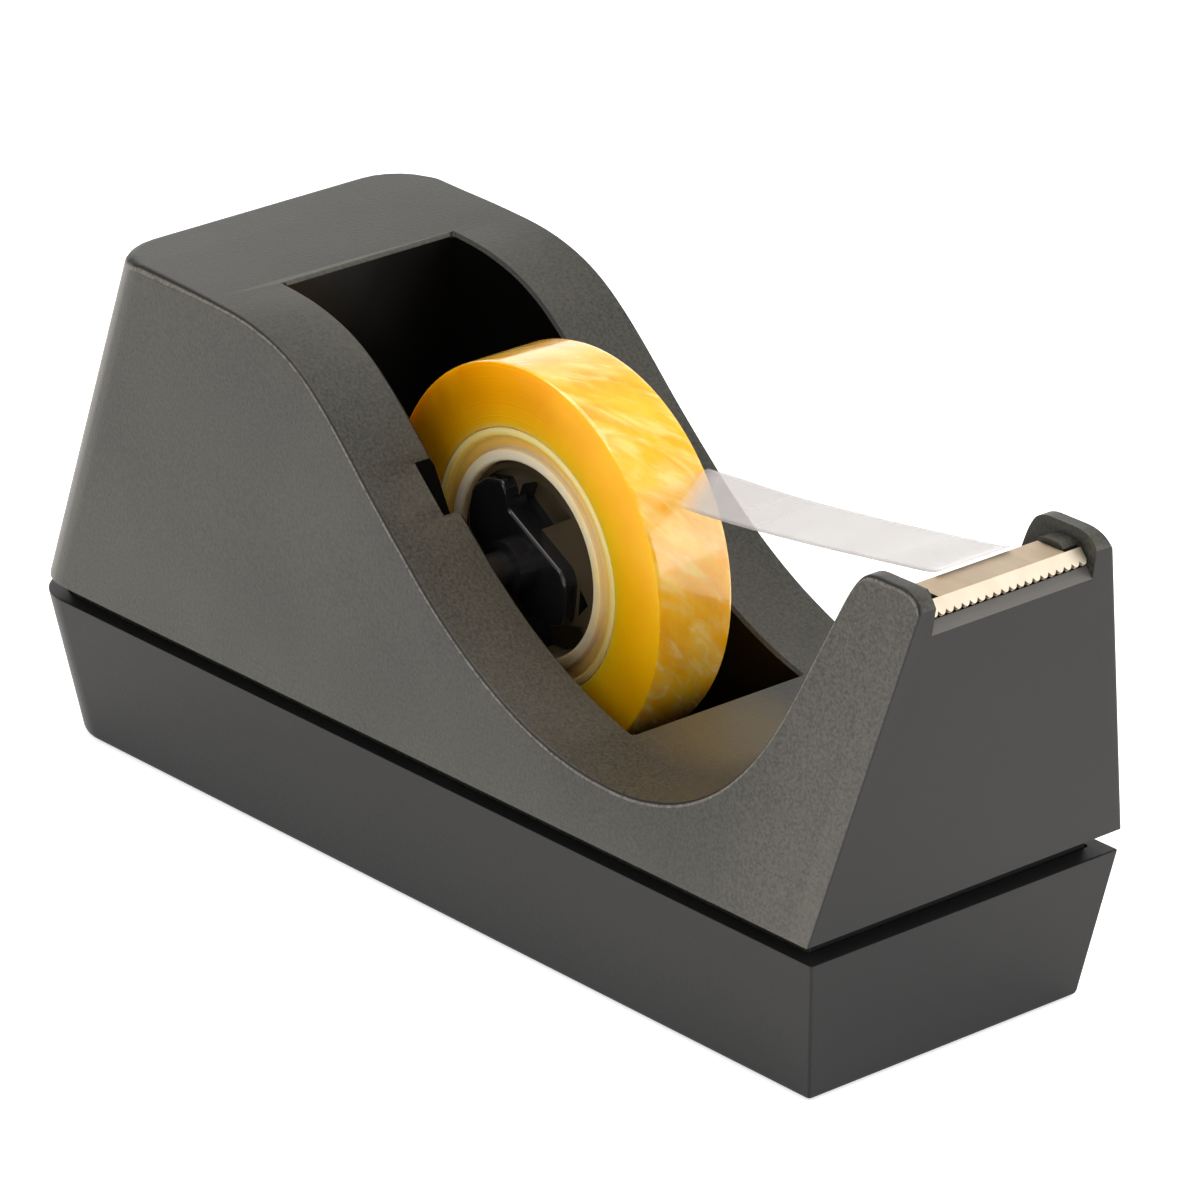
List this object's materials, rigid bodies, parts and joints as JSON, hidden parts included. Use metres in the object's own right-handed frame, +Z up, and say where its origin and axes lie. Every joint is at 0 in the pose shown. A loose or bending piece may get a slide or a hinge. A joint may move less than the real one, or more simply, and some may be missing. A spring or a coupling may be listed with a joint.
{
  "type": "desk tape dispenser",
  "caption": "Weighted desk tape dispenser: tray base, S-profiled housing with open well, lift-out reel with a narrow roll of tape, and a toothed cutter between two ears.",
  "frame": {"origin": "centre of the overall box in plan, on the surface the foam pad stands on", "axes": "+X towards the cutter, +Z up, +Y across the housing; the tape reel turns about +Y"},
  "size_m": [0.1574, 0.0498, 0.0699],
  "materials": {
    "base_plastic": "smooth satin black-grey plastic",
    "ballast_steel": "plain rolled steel",
    "pad_foam": "matte black foam rubber",
    "housing_plastic": "finely spark-textured black-grey plastic",
    "screw_steel": "zinc plated",
    "cutter_steel": "warm nickel-plated strip",
    "hub_plastic": "gloss black plastic",
    "core_plastic": "milky white plastic",
    "tape_wound": "glossy amber wound film",
    "tape_film": "clear adhesive film"
  },
  "bodies": {
    "stand": {"base_tray": "base_plastic", "ballast_plate": "ballast_steel", "base_pad": "pad_foam", "housing": "housing_plastic", "screw_rear_near": "screw_steel", "screw_rear_far": "screw_steel", "screw_front_near": "screw_steel", "screw_front_far": "screw_steel", "cutter_blade": "cutter_steel"},
    "leader": {"tape_strip": "tape_film"},
    "reel": {"reel_hub": "hub_plastic", "tape_core": "core_plastic", "tape_roll": "tape_wound"}
  },
  "joints": [
    {"name": "reel_lift", "type": "slide", "parent": "stand", "child": "leader", "axis": [-0.4664, 0, 0.8846], "range_m": [0, 0.0205]},
    {"name": "reel_spin", "type": "hinge", "parent": "leader", "child": "reel", "pos_m": [-0.00145, 0, 0.0419], "axis": [0, 1, 0], "continuous": true}
  ]
}
